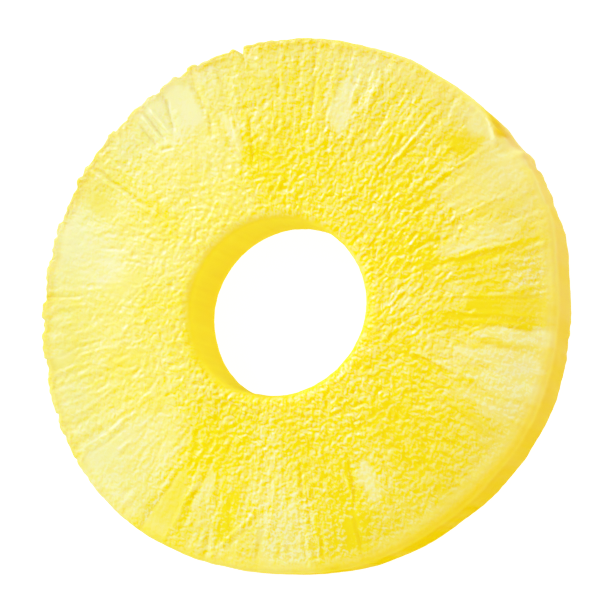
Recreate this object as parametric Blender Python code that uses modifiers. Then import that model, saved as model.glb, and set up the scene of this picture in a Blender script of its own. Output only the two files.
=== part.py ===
"""A slice of peeled and cored pineapple: one ring of fruit, lying on its lower cut face.

Units are metres, +Z is up. The origin is on the table, under the middle of the ring's outline.
The ring starts as a rounded section turned once round the Z axis. Its points are then moved out or in
to the uneven outline that a peeling knife leaves, and the upper face gets the shallow clefts where
one small fruit of the pineapple meets the next.
"""

import math

import bmesh
import bpy
import numpy as np

MM = 0.001

# Driving sizes.
OUTER_RADIUS = 40.0 * MM
HOLE_RADIUS = 13.3 * MM
THICKNESS = 11.0 * MM
HOLE_SHIFT = 2.1 * MM  # the corer went in beside the middle
HOLE_SHIFT_ANGLE = math.radians(192)

# Edges. The upper outer edge is crisp on one side of the ring and worn round on the other.
HOLE_EDGE = 0.9 * MM
LOWER_EDGE = 0.8 * MM
UPPER_EDGE_CRISP = 0.6 * MM
UPPER_EDGE_WORN = 1.7 * MM
WORN_SIDE_ANGLE = math.radians(-45)

# The outer wall leans in towards the table, and bellies out a little half way up.
WALL_TAPER = 0.5 * MM
WALL_BELLY = 0.25 * MM

# How far the two outlines stray from circles: (waves round the ring, height, angle of the first crest).
OUTLINE_WAVES = [
    (2, 0.35 * MM, math.radians(15)),
    (3, 0.23 * MM, math.radians(-36)),
    (4, 0.18 * MM, math.radians(138)),
    (6, 0.12 * MM, math.radians(-136)),
    (7, 0.08 * MM, math.radians(-143)),
]
HOLE_WAVES = [(2, 0.40 * MM, math.radians(20)), (3, 0.10 * MM, math.radians(-80))]

# Damage to the outer wall: a nick that runs down from the upper edge, and a lip broken off that edge.
NICK_ANGLE = math.radians(102)
NICK_DEPTH = 1.2 * MM
NICK_HALF_WIDTH = 0.9 * MM
CHIP_ANGLE = math.radians(40)
CHIP_DEPTH = 1.5 * MM
CHIP_HALF_WIDTH = 3.0 * MM

# Clefts between the small fruits: (angle in degrees, radius where the cleft begins, depth at the rim).
CLEFTS = [
    (11, 22 * MM, 0.45 * MM),
    (21, 25 * MM, 0.30 * MM),
    (85, 26 * MM, 0.35 * MM),
    (117, 27 * MM, 0.30 * MM),
    (137, 26 * MM, 0.35 * MM),
    (148, 25 * MM, 0.30 * MM),
    (178, 28 * MM, 0.25 * MM),
    (198, 27 * MM, 0.30 * MM),
    (211, 26 * MM, 0.25 * MM),
    (238, 25 * MM, 0.45 * MM),
    (257, 24 * MM, 0.40 * MM),
    (288, 23 * MM, 0.45 * MM),
    (326, 23 * MM, 0.40 * MM),
    (356, 20 * MM, 0.40 * MM),
]
CLEFT_HALF_WIDTH = 1.3 * MM
CLEFT_RUN_IN = 8.0 * MM
RIM_SAG = 0.2 * MM  # how much lower the upper face lies at its rim than half way in
FACE_SWELL = 0.12 * MM  # the two long swells that go round the upper face

# Fineness of the turned shape.
STEPS_ROUND = 180
EDGE_POINTS = 3
FACE_RINGS = 6

FLESH_COLOUR = (0.93, 0.74, 0.10, 1.0)


def clear_scene():
    for old in list(bpy.data.objects):
        bpy.data.objects.remove(old)


def make_collection(name):
    collection = bpy.data.collections.new(name)
    bpy.context.scene.collection.children.link(collection)
    return collection


def rounded_corner(corner_r, corner_z, radius, first_angle):
    """Points of a quarter circle that rounds one corner of the section, turned to the left as it goes.

    corner_r and corner_z are the circle's centre; first_angle is where the quarter starts.
    """
    points = []
    for k in range(EDGE_POINTS):
        angle = first_angle + math.pi / 2 * k / (EDGE_POINTS - 1)
        points.append((corner_r + radius * math.cos(angle), corner_z + radius * math.sin(angle)))
    return points


def ring_section():
    """The closed outline of the ring's section as (radius, height) points.

    It runs along the table from the hole outwards, up the outer wall, in over the upper face and down
    the wall of the hole, with every corner rounded.
    """
    lower, upper, hole = LOWER_EDGE, UPPER_EDGE_CRISP, HOLE_EDGE
    section = rounded_corner(OUTER_RADIUS - lower, lower, lower, -math.pi / 2)
    section.append((OUTER_RADIUS, THICKNESS / 2))
    section += rounded_corner(OUTER_RADIUS - upper, THICKNESS - upper, upper, 0)
    first, last = OUTER_RADIUS - upper, HOLE_RADIUS + hole
    for k in range(1, FACE_RINGS):
        section.append((first + (last - first) * k / FACE_RINGS, THICKNESS))
    section += rounded_corner(HOLE_RADIUS + hole, THICKNESS - hole, hole, math.pi / 2)
    section.append((HOLE_RADIUS, THICKNESS / 2))
    section += rounded_corner(HOLE_RADIUS + hole, hole, hole, math.pi)
    return section


def turned_ring(collection):
    """Turns the section once round Z with a Screw modifier and returns the closed mesh."""
    section = ring_section()
    mesh = bpy.data.meshes.new("ring_section")
    corners = [(radius, 0, height) for radius, height in section]
    # The loop of edges runs backwards, down the outer side, so that the faces point out.
    edges = [((k + 1) % len(section), k) for k in range(len(section))]
    mesh.from_pydata(corners, edges, [])
    lathe = bpy.data.objects.new("ring_lathe", mesh)
    collection.objects.link(lathe)
    screw = lathe.modifiers.new("turn", "SCREW")
    screw.steps = screw.render_steps = STEPS_ROUND
    screw.use_merge_vertices = True
    screw.merge_threshold = 1e-6
    graph = bpy.context.evaluated_depsgraph_get()
    turned = bpy.data.meshes.new_from_object(lathe.evaluated_get(graph))
    bpy.data.objects.remove(lathe)
    return turned


def waves(angle, table):
    """The sum of a few cosines round the ring: height * cos(count * angle - crest)."""
    return sum(height * np.cos(count * angle - crest) for count, height, crest in table)


def outer_outline(angle):
    return OUTER_RADIUS + waves(angle, OUTLINE_WAVES)


def hole_outline(angle):
    return HOLE_RADIUS + HOLE_SHIFT * np.cos(angle - HOLE_SHIFT_ANGLE) + waves(angle, HOLE_WAVES)


def turn_between(angle, centre):
    """The signed angle from centre to angle, between minus and plus half a turn."""
    return (angle - centre + math.pi) % (2 * math.pi) - math.pi


def bell(distance, half_width):
    """A bell curve that is 1 in the middle and 0.37 at half_width."""
    return np.exp(-((distance / half_width) ** 2))


def smooth_rise(value, start, end):
    """0 before start, 1 after end, and an S curve between them."""
    share = np.clip((value - start) / (end - start), 0, 1)
    return share * share * (3 - 2 * share)


def worn_share(angle):
    """How worn the upper outer edge is: 0 on the crisp side, 1 on the worn side."""
    return (1 + np.cos(angle - WORN_SIDE_ANGLE)) / 2


def shape_outline(angle, radius, height):
    """Moves every point out or in, so that the section fits between the two uneven outlines.

    A point keeps its share of the way from the hole's wall to the outer wall. The outer wall then
    gets its lean, its belly, the nick and the chip, which fade out towards the hole.
    """
    across = (radius - HOLE_RADIUS) / (OUTER_RADIUS - HOLE_RADIUS)
    level = height / THICKNESS
    inner = hole_outline(angle)
    placed = inner + across * (outer_outline(angle) - inner)
    near_wall = smooth_rise(across, 0.8, 0.96)
    lean = WALL_TAPER * (1 - level)
    belly = WALL_BELLY * 4 * level * (1 - level)
    arc = OUTER_RADIUS * turn_between(angle, NICK_ANGLE)
    nick = NICK_DEPTH * bell(arc, NICK_HALF_WIDTH) * smooth_rise(level, 0.1, 0.8)
    arc = OUTER_RADIUS * turn_between(angle, CHIP_ANGLE)
    chip = CHIP_DEPTH * bell(arc, CHIP_HALF_WIDTH) * smooth_rise(level, 0.55, 0.95)
    return placed + near_wall * (belly - lean - nick - chip)


def shape_upper_face(angle, radius, height):
    """Lowers the upper face along its clefts and at the worn rim, and adds the long swells."""
    on_face = smooth_rise(height, 0.6 * THICKNESS, THICKNESS)
    drop = np.zeros_like(radius)
    for degrees, begins, depth in CLEFTS:
        arc = radius * turn_between(angle, math.radians(degrees))
        drop += depth * bell(arc, CLEFT_HALF_WIDTH) * smooth_rise(radius, begins, begins + CLEFT_RUN_IN)
    middle = (OUTER_RADIUS + HOLE_RADIUS) / 2
    drop += RIM_SAG * smooth_rise(radius, middle, OUTER_RADIUS)
    extra_round = (UPPER_EDGE_WORN - UPPER_EDGE_CRISP) * worn_share(angle)
    drop += extra_round * smooth_rise(radius, OUTER_RADIUS - 1.5 * UPPER_EDGE_WORN, OUTER_RADIUS) ** 2
    swell = FACE_SWELL * np.cos(2 * angle) * smooth_rise(radius, HOLE_RADIUS, middle)
    return height - on_face * (drop + FACE_SWELL + swell)


def shape_ring(mesh):
    """Moves the turned mesh's points to the real, uneven form, and centres its box on the origin."""
    points = np.empty(len(mesh.vertices) * 3)
    mesh.vertices.foreach_get("co", points)
    points = points.reshape(-1, 3)
    angle = np.arctan2(points[:, 1], points[:, 0])
    radius = np.hypot(points[:, 0], points[:, 1])
    placed = shape_outline(angle, radius, points[:, 2])
    lifted = shape_upper_face(angle, radius, points[:, 2])
    shaped = np.stack([placed * np.cos(angle), placed * np.sin(angle), lifted], axis=1)
    middle = (shaped.min(axis=0) + shaped.max(axis=0)) / 2
    shaped[:, :2] -= middle[:2]
    mesh.vertices.foreach_set("co", shaped.ravel())
    mesh.update()


def point_faces_out(mesh):
    work = bmesh.new()
    work.from_mesh(mesh)
    bmesh.ops.recalc_face_normals(work, faces=work.faces)
    work.to_mesh(mesh)
    work.free()


def flesh_material():
    material = bpy.data.materials.new("pineapple_flesh")
    material.use_nodes = True
    surface = material.node_tree.nodes["Principled BSDF"]
    surface.inputs["Base Color"].default_value = FLESH_COLOUR
    surface.inputs["Roughness"].default_value = 0.35
    surface.inputs["Metallic"].default_value = 0.0
    return material


def main():
    clear_scene()
    collection = make_collection("pineapple_slice")
    mesh = turned_ring(collection)
    mesh.name = "pineapple_ring"
    shape_ring(mesh)
    point_faces_out(mesh)
    mesh.shade_smooth()
    mesh.materials.append(flesh_material())
    collection.objects.link(bpy.data.objects.new("pineapple_ring", mesh))


main()
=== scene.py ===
# %% [markdown]
# # A slice of pineapple
#
# This lesson dresses one slice of pineapple: peeled, cored and lying flat, as it comes out of a can.
# The frame gives its plain solid, which has the real size and outline and which the physics uses.
# The looks are made here: the wet, wrinkled cut face, the smooth golden walls and a small white studio.
#
# The first cell loads the frame. All later cells place things by what the frame measures, so the
# slice that is seen and the slice that collides are in the same place.

# %% Load the fixed frame
import itertools
import math

import bpy
import numpy as np
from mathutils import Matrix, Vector


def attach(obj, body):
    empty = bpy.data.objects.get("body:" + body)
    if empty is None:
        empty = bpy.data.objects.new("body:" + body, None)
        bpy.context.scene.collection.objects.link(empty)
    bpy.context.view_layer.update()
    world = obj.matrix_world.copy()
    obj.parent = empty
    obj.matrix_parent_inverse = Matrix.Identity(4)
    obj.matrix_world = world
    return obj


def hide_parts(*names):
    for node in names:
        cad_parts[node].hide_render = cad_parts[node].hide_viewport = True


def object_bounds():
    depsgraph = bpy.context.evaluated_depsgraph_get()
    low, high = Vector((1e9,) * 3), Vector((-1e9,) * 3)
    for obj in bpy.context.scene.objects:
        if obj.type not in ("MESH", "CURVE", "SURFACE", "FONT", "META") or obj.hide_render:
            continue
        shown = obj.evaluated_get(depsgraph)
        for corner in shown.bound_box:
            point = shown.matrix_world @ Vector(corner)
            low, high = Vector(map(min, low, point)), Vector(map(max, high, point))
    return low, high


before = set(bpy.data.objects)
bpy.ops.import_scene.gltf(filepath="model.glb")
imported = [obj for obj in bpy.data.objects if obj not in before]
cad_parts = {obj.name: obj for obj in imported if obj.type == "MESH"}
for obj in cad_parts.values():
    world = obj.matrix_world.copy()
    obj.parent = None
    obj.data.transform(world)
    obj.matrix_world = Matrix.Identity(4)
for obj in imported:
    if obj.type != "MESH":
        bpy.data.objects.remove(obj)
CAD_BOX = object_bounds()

MM = 0.001
NODE = "pineapple_ring"
print("frame nodes:", sorted(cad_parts))

# %% [markdown]
# ## The outline of the slice
#
# A peeling knife leaves an outline that strays from a circle, and a corer rarely hits the middle. Both
# outlines are already in the plain solid. They could be typed in again as formulas, but reading them from
# the solid's own points can't drift from it. The points of one level of the walls, sorted by their
# direction, are a table of radius against direction, and `np.interp` reads it at any direction, right
# across the seam.


# %% Read the two outlines from the plain solid
def node_points(name):
    """All points of a node of the frame, as rows of x, y and z in millimetres."""
    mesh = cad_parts[name].data
    flat = np.empty(len(mesh.vertices) * 3, np.float32)
    mesh.vertices.foreach_get("co", flat)
    return flat.reshape(-1, 3).astype(float) / MM


def outline(points, angle):
    """The radius of a band of points at each angle, read between its two nearest points."""
    turn = np.arctan2(points[:, 1], points[:, 0])
    order = np.argsort(turn)
    reach = np.hypot(points[:, 0], points[:, 1])
    return np.interp(angle, turn[order], reach[order], period=2 * math.pi)


SOLID = node_points(NODE)
THICKNESS = (CAD_BOX[1].z - CAD_BOX[0].z) / MM
SOLID_REACH = np.hypot(SOLID[:, 0], SOLID[:, 1])
HALF_WAY = (SOLID_REACH.min() + SOLID_REACH.max()) / 2
LOW_BAND = (SOLID[:, 2] > 0.06 * THICKNESS) & (SOLID[:, 2] < 0.09 * THICKNESS)
WALL_POINTS = SOLID[LOW_BAND & (SOLID_REACH > HALF_WAY)]
HOLE_POINTS = SOLID[LOW_BAND & (SOLID_REACH < HALF_WAY)]
print(f"thickness {THICKNESS:.2f} mm, {len(WALL_POINTS)} wall points, {len(HOLE_POINTS)} hole points")

# %% [markdown]
# ## Smooth random bumps
#
# Fruit is uneven at every scale, so most of its shape is noise. Blender has noise textures, but their
# values stay inside the shader. Gradient noise in numpy is only a few lines, works on a whole grid of
# points at once, and gives numbers that can shape the mesh as well as colour it.

# %% Gradient noise on whole arrays
NOISE_GAIN = 1.7  # brings the strongest bumps close to -1 and 1


def noise(x, y, z, seed):
    """Smooth random values, from about -1 to 1, which change over a distance of about one unit.

    Each corner of the unit lattice has a random direction. Its dot product with the way from that corner
    to the point is blended over the eight corners of the cell, with the S curve 6t^5 - 15t^4 + 10t^3.
    """
    rng = np.random.default_rng(seed)
    shuffled = rng.permutation(256)
    directions = rng.normal(size=(256, 3))
    directions /= np.linalg.norm(directions, axis=1, keepdims=True)
    place = np.stack(np.broadcast_arrays(x, y, z), axis=-1)
    cell = np.floor(place).astype(int)
    within = place - cell
    curve = within**3 * (within * (within * 6 - 15) + 10)
    total = np.zeros(place.shape[:-1])
    for corner in itertools.product((0, 1), repeat=3):
        at = (cell + corner) % 256
        pick = shuffled[at[..., 0]]
        pick = shuffled[(pick + at[..., 1]) % 256]
        pick = shuffled[(pick + at[..., 2]) % 256]
        toward = (directions[pick] * (within - corner)).sum(axis=-1)
        total += toward * np.where(corner, curve, 1 - curve).prod(axis=-1)
    return NOISE_GAIN * total


WOUND = 30.0  # the radius, in mm, where noise round the ring has the size that it is asked for


def round_noise(angle, radius, across, along, seed):
    """Noise that closes on itself round the ring.

    The angle is wound onto a circle, so the noise has no seam: across is the size of a bump round the
    ring, measured at the wound radius, and along is its size from the hole to the rim, in mm.
    """
    turn = WOUND / across
    return noise(turn * np.cos(angle), turn * np.sin(angle), radius / along, seed)


def smooth_rise(value, start, end):
    """0 before start, 1 after end, and an S curve between them."""
    share = np.clip((value - start) / (end - start), 0, 1)
    return share * share * (3 - 2 * share)


def turn_from(angle, degrees):
    """The way round from a direction given in degrees, in degrees, from -180 to 180."""
    return (np.degrees(angle) - degrees + 180) % 360 - 180


def bell(distance, half_width):
    """A bell curve: 1 in the middle and 0.37 at half_width."""
    return np.exp(-((distance / half_width) ** 2))


def blend_share(share, first, second):
    """The first value where the share is 0, the second where it is 1, and a mix between."""
    return first + share * (second - first)


# %% [markdown]
# ## The rim
#
# The upper rim tells how the slice was handled. It is torn into small teeth on one side and worn round on
# the other. It has a sharp nick, a lip that broke off, and beside the lip a bulge no wider than a grain of
# rice. The foot of the wall is wavy and a little chipped. Each of these moves the outline in or out by
# less than two millimetres, so they are small sums added to the outline, and not cuts in a solid: a sum
# can fade out down the wall, and the surface stays closed. A few wide dents follow, where the fruit was
# less even than its plain solid.

# %% Teeth, nick, broken lip and dents
WALL_LEAN = 0.5
WALL_BELLY = 0.25
TEETH_SIDE = 157
TEETH_DEPTH = 0.42
FOOT_WAVES = 0.22
FOOT_CHIPS = 0.22
NICK_AT, NICK_DEPTH, NICK_STEEP, NICK_SLOPE = 102.5, 1.35, 0.45, 1.7
LIP_START, LIP_DEEPEST, LIP_END, LIP_DEPTH = 44.5, 37.0, 29.0, 0.7
BULGE_AT, BULGE_HEIGHT, BULGE_HALF_TURN = 30.9, 0.50, 0.85


def broken_lip(angle):
    """How much of the lip is missing, from 0 to 1: most at its deepest, and nothing at its two ends."""
    turn = turn_from(angle, LIP_DEEPEST)
    before = 1 - smooth_rise(turn, -0.1, LIP_START - LIP_DEEPEST)
    return before**0.8 * smooth_rise(turn, LIP_END - LIP_DEEPEST, 0)


def rim_shift(angle, level):
    """How far the outer wall stands out from its outline, in mm, at a level from 0 (table) to 1 (top).

    The sum of the wall's lean and belly, shallow waves at its foot, a bulge, a V-shaped nick, the broken
    lip, and teeth: blocks of noise cut off at two levels, with finer noise on them. Most of it grows
    from the middle of the wall to the top.
    """
    shift = WALL_BELLY * 4 * level * (1 - level) - WALL_LEAN * (1 - level)
    torn = smooth_rise(np.cos(np.radians(turn_from(angle, TEETH_SIDE))), 0.3, 0.8)
    blocks = smooth_rise(round_noise(angle, 6 * level, 1.6, 4.0, 11), -0.08, 0.08)
    crumbs = round_noise(angle, 6 * level, 0.8, 3.0, 12)
    past_nick = turn_from(angle, NICK_AT)
    nick = np.clip(np.minimum(1 + past_nick / NICK_STEEP, 1 - past_nick / NICK_SLOPE), 0, 1)
    bulge = bell(turn_from(angle, BULGE_AT), BULGE_HALF_TURN)
    waves = round_noise(angle, 6 * level, 4.0, 8.0, 13)
    teeth = (0.15 + 0.85 * torn + 0.3 * bell(turn_from(angle, 27), 12)) * (blocks + 0.6 * crumbs)
    shift = shift - TEETH_DEPTH * teeth * smooth_rise(level, 0.3, 0.9)
    chipped = 0.2 + bell(turn_from(angle, 28), 13) + 0.6 * bell(turn_from(angle, 352), 6)
    foot = FOOT_WAVES * waves + FOOT_CHIPS * chipped * crumbs
    shift = shift + foot * (1 - smooth_rise(level, 0.35, 0.7))
    shift = shift - NICK_DEPTH * nick * smooth_rise(level, 0.2, 0.8)
    shift = shift - LIP_DEPTH * broken_lip(angle) * smooth_rise(level, 0.62, 0.86)
    return shift + BULGE_HEIGHT * bulge * smooth_rise(level, 0.0, 0.3)


# direction, half its width in degrees, and how far the outline stands out there in mm
RIM_DENTS = [(15, 6, 0.45), (25, 5, 0.15), (64, 6, 0.32), (113, 6, 0.25), (129, 9, -0.38), (150, 6, 0.15),
             (200, 30, -0.26), (272, 13, -0.27), (330, 20, 0.22)]
HOLE_DENTS = [(22, 35, 0.20), (197, 18, -0.22), (250, 11, -0.25)]


def dented(angle, dents):
    """The sum of a few wide bells round the ring: height * exp(-(turn / half)^2)."""
    return sum(height * bell(turn_from(angle, at), half) for at, half, height in dents)


FOOT_LEVEL = 0.073
FOOT_SHIFT = WALL_BELLY * 4 * FOOT_LEVEL * (1 - FOOT_LEVEL) - WALL_LEAN * (1 - FOOT_LEVEL)


def hole_line(angle):
    """The radius of the hole at each angle."""
    return outline(HOLE_POINTS, angle) + dented(angle, HOLE_DENTS)


def rim_line(angle):
    """The radius of the outer wall at each angle, before it is shifted: the low band stands at its foot."""
    return outline(WALL_POINTS, angle) - FOOT_SHIFT + dented(angle, RIM_DENTS)


ALL_ROUND = np.radians(np.arange(360.0))
FACE_WIDTH = (rim_line(ALL_ROUND) - hole_line(ALL_ROUND)).mean()
print(f"hole about {2 * hole_line(ALL_ROUND).mean():.1f} mm across, face {FACE_WIDTH:.2f} mm wide")

# %% [markdown]
# ## The section
#
# The section of the ring is a rounded box, but its upper outer corner is crisp on the torn side, worn
# on the other, and slopes away where the lip broke. A bevel would give one radius all round. Here each
# stretch of the section, a quarter circle or a straight line, is a small array with one line for each
# column of the grid, so that every column can have its own corner. A third array keeps which way the
# surface faces there, because the relief will push points out along that direction.

# %% Stretches of the section
HOLE_EDGE = 1.6
FOOT_EDGE = 0.8
RIM_CRISP = 0.5
RIM_WORN = 1.7
WORN_SIDE = -45
LIP_ROUNDING = 1.1
KNEE = 8.0  # how far from the hole the columns double, in mm


def worn_share(angle):
    """How worn the rim is, from 0 on the torn side to 1 on the worn side."""
    return (1 + np.cos(np.radians(turn_from(angle, WORN_SIDE)))) / 2


def corner_rows(centre_in, centre_up, radius, start, end, count):
    """A quarter circle: centre + radius * (cos, sin), with the angle going evenly from start to end."""
    turn = np.radians(start + (end - start) * np.arange(count) / count)[None, :] + 0 * centre_in
    return centre_in + radius * np.cos(turn), centre_up + radius * np.sin(turn), turn


def straight_rows(begin, end, facing, count, last=0):
    """A straight line: begin + share * (end - begin), all of it facing the same way.

    Its end is the start of the next stretch and is left out. Only with last = 1 is it kept.
    """
    share = (np.arange(count) / (count - last))[None, :]
    inward = begin[0] + (end[0] - begin[0]) * share
    upward = begin[1] + (end[1] - begin[1]) * share
    return inward, upward, np.full_like(inward, math.radians(facing))


def hole_side(angle):
    """The half of the section that goes round the hole: under the slice, up the hole, out to the knee."""
    flat = np.zeros_like(angle)
    top = flat + THICKNESS
    return [
        straight_rows((flat + KNEE, flat), (flat + FOOT_EDGE, flat), -90, 4),
        corner_rows(flat + FOOT_EDGE, FOOT_EDGE, FOOT_EDGE, -90, -180, 3),
        straight_rows((flat, flat + FOOT_EDGE), (flat, top - HOLE_EDGE), 180, 8),
        corner_rows(flat + HOLE_EDGE, THICKNESS - HOLE_EDGE, HOLE_EDGE, 180, 90, 8),
        straight_rows((flat + HOLE_EDGE, top), (flat + KNEE, top), 90, 33),
    ]


def rim_side(angle):
    """The other half: from the knee over the face to the rim, down the outer wall and back below."""
    flat = np.zeros_like(angle)
    top = flat + THICKNESS
    rim = RIM_CRISP + (RIM_WORN - RIM_CRISP) * worn_share(angle) * (1 - 0.9 * bell(turn_from(angle, 41), 4))
    rim = rim + LIP_ROUNDING * bell(turn_from(angle, 32.5), 3)
    wall = flat + FACE_WIDTH
    return [
        straight_rows((flat + KNEE, top), (wall - rim, top), 90, 61),
        corner_rows(wall - rim, THICKNESS - rim, rim, 90, 0, 7),
        straight_rows((wall, THICKNESS - rim), (wall, flat + FOOT_EDGE), 0, 9),
        corner_rows(wall - FOOT_EDGE, FOOT_EDGE, FOOT_EDGE, 0, -90, 3),
        straight_rows((wall - FOOT_EDGE, flat), (flat + KNEE, flat), -90, 3, last=1),
    ]


ROWS = sum(part[0].shape[1] for half in (hole_side, rim_side) for part in half(ALL_ROUND[:, None]))
print(f"{ROWS} points on a whole section")

# %% [markdown]
# ## Wedges
#
# A pineapple is many small fruits grown together round one core. A slice cuts through a dozen of them,
# and each shows as a wedge: pale and smooth where its flesh is dense, deep yellow and glassy where it is
# soaked with juice. A random pattern would do for a slice in a heap. Here each wedge is placed in one
# list, and noise only makes its edges ragged. The wide, faint rows are no fruits of their own:
# they are regions where the whole flesh is a little paler or deeper.

# %% Pale and juicy wedges
# direction, half its width in degrees, from radius, to radius, how pale (below 0: juicy), smooth, painted
# glints
WEDGES = [
    (5, 5, 32, 42, 0.12, 0.1, 0.7),
    (11.8, 1.7, 19, 40, -0.24, 0.5, 0.0),
    (16.5, 3.3, 22.5, 36, 0.30, 0.5, 0.2),
    (14.6, 1.0, 23.5, 29.5, 0.35, 0.8, 0.0),
    (20.8, 2.2, 19, 28, 0.08, 0.2, 0.0),
    (22, 1.2, 29, 41, -0.05, 0.8, 0.0),
    (30, 6.5, 26, 41, 0.20, 0.7, 0.1),
    (32, 20, 31, 46, 0.28, 0.5, 0.0),
    (40, 3.8, 31.5, 36.8, -0.30, 0.7, 0.0),
    (41, 4.5, 35.5, 40.5, 0.22, 0.8, 0.0),
    (75.3, 3.0, 25.5, 34, 0.42, 0.75, 0.2),
    (78, 8, 23, 38, 0.12, 0.1, 0.2),
    (72, 4, 32.5, 39, 0.12, 0.4, 0.2),
    (83.3, 1.6, 26.5, 34, -0.22, 0.7, 0.0),
    (66, 12, 17, 42, 0.08, 0.0, 0.0),
    (66, 24, 33, 46, 0.20, 0.3, 0.0),
    (62, 10, 18, 29, 0.08, 0.0, 0.0),
    (20, 14, 12, 23.5, -0.20, 0.0, 0.0),
    (117, 8, 21, 30, 0.09, 0.0, 0.0),
    (60, 10, 25, 32, -0.07, 0.0, 0.0),
    (4, 12, 11, 27, 0.17, 0.0, 0.0),
    (160, 11, 15, 41, 0.18, 0.0, 0.0),
    (341, 8, 22, 42, 0.08, 0.0, 0.2),
    (42, 11, 20, 34, -0.07, 0.0, 0.0),
    (282, 10, 25, 40, -0.12, 0.0, 0.0),
    (25, 11, 21, 35, 0.09, 0.0, 0.0),
    (101, 10, 15, 24, -0.14, 0.0, 0.0),
    (106, 3.5, 21, 28, -0.22, 0.1, 0.0),
    (104, 1.5, 27, 32.5, -0.18, 0.3, 0.0),
    (110.6, 1.0, 25.5, 30.5, 0.30, 0.6, 0.0),
    (115, 1.2, 30, 39, -0.18, 0.3, 0.0),
    (120.5, 3.8, 30.5, 41, 0.20, 0.95, 0.0),
    (121, 10, 27, 47, 0.16, 0.0, 0.0),
    (150, 22, 32, 47, 0.10, 0.0, 0.0),
    (128.5, 5.5, 30, 41, 0.14, 0.4, 0.0),
    (122, 11, 16, 30, 0.05, 0.1, 0.0),
    (150, 10, 18, 42, -0.20, 0.1, 0.0),
    (153.5, 2.2, 31.5, 37, -0.12, 0.8, 0.0),
    (168, 9, 26, 42, 0.18, 0.4, 0.1),
    (172, 6, 23, 31, 0.10, 0.6, 0.0),
    (178.6, 1.3, 32, 41, -0.12, 0.6, 0.0),
    (188, 7, 26, 42, 0.02, 0.2, 0.0),
    (188, 16, 13, 25, -0.12, 0.0, 0.0),
    (193.3, 1.5, 34.5, 43, 0.0, 0.95, 0.0),
    (197, 2.0, 23.5, 30, -0.12, 0.6, 0.0),
    (205, 9, 30, 45, 0.16, 0.0, 0.0),
    (213.8, 1.3, 27, 41, 0.25, 0.0, 1.0),
    (217.8, 2.3, 30, 42, 0.06, 0.95, 0.0),
    (224.5, 11, 20, 47, 0.44, 0.3, 0.2),
    (228.5, 1.8, 25, 31, -0.05, 0.8, 0.0),
    (238.8, 3.4, 28, 44, 0.14, 0.95, 0.0),
    (235.3, 1.2, 31, 41, 0.12, 0.0, 1.0),
    (246, 1.9, 25.5, 33, 0.45, 0.6, 0.2),
    (247.5, 4.5, 31, 42, 0.16, 0.3, 0.1),
    (254.6, 3.0, 28.5, 36.5, -0.34, 0.85, 0.0),
    (265, 18, 17, 45, 0.26, 0.0, 0.3),
    (292, 16, 17, 33, 0.10, 0.0, 0.3),
    (264, 8, 17, 30, 0.18, 0.0, 0.4),
    (335, 14, 17, 30, 0.06, 0.0, 0.2),
    (330, 18, 33, 46, 0.08, 0.0, 0.2),
    (300, 7, 25, 31, 0.10, 0.0, 0.2),
    (258.5, 2.5, 34, 42, 0.0, 0.6, 0.0),
    (264.5, 2.3, 32, 41, 0.12, 0.9, 0.0),
    (269.5, 5, 27, 41, 0.20, 0.1, 1.0),
    (275, 4, 27, 41, 0.16, 0.2, 1.0),
    (283.5, 3.5, 30, 40, 0.05, 0.5, 0.5),
    (288.3, 1.7, 32, 43, -0.15, 0.7, 0.0),
    (291.3, 1.7, 24, 34.5, -0.15, 0.5, 0.0),
    (296.6, 2.6, 25.5, 32.5, 0.45, 0.6, 0.2),
    (297.5, 7, 30, 41, 0.07, 0.5, 0.4),
    (305, 6, 29, 41, 0.05, 0.3, 0.3),
    (328.5, 1.2, 26, 42, 0.0, 0.8, 0.0),
    (333.3, 2.4, 28, 39, 0.26, 0.4, 0.4),
    (339, 3.0, 29.5, 41, 0.36, 0.3, 0.8),
    (344, 2.5, 27, 39.5, 0.42, 0.45, 0.7),
    (350.3, 2.3, 28.5, 41, 0.45, 0.5, 0.7),
    (338, 20, 31, 45, 0.20, 0.3, 0.4),
    (342, 8, 19, 30, 0.20, 0.0, 0.2),
    (347.2, 0.9, 28, 41, -0.05, 0.9, 0.0),
    (336.3, 1.0, 17, 30, -0.25, 0.4, 0.0),
    (357.2, 3.6, 26, 41, -0.14, 0.9, 0.0),
    (353.6, 0.9, 23, 41, -0.18, 0.5, 0.0),
]


def wedge_fields(angle, radius):
    """How pale (-1 to 1), how smooth and how much painted glint (0 to 1) the face has, over all the wedges.

    A wedge's mask is a lens: it is widest half way along, where its width is twice the given half, and it
    narrows as the root of 4 t (1 - t) towards both ends. It is read at a place that noise moved a little.
    """
    ragged_turn = 1.5 * round_noise(angle, radius, 2.5, 5.0, 21) + round_noise(angle, radius, 0.9, 2.0, 22)
    ragged_reach = 1.5 * round_noise(angle, radius, 1.5, 6.0, 23)
    pale = np.zeros_like(radius)
    smooth = np.zeros_like(radius)
    painted_glint_share = np.zeros_like(radius)
    for direction, half, begins, ends, paleness, smoothness, painted_glints in WEDGES:
        along = np.clip((radius + ragged_reach - begins) / (ends - begins), 0, 1)
        width = half * np.sqrt(4 * along * (1 - along)) + 0.01
        mask = 1 - smooth_rise(abs(turn_from(angle, direction) + ragged_turn) / width, 0.5, 1.3)
        mask *= smooth_rise(along, 0, 0.03 * half)
        pale += paleness * mask
        smooth = np.maximum(smooth, smoothness * mask)
        painted_glint_share = np.maximum(painted_glint_share, painted_glints * mask)
    return np.clip(pale, -1, 1), smooth, painted_glint_share


print(len(WEDGES), "wedges, of which", sum(row[4] < 0 for row in WEDGES), "are juicy")

# %% [markdown]
# ## Creases
#
# Between the small fruits run thin creases, and beside many of them a ridge where the knife turned the
# skin up. Their places are a list of strokes too. The plainest of them are only strewn over four
# stretches of the ring, with a seeded random generator, so they fall the same way every time.

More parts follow.
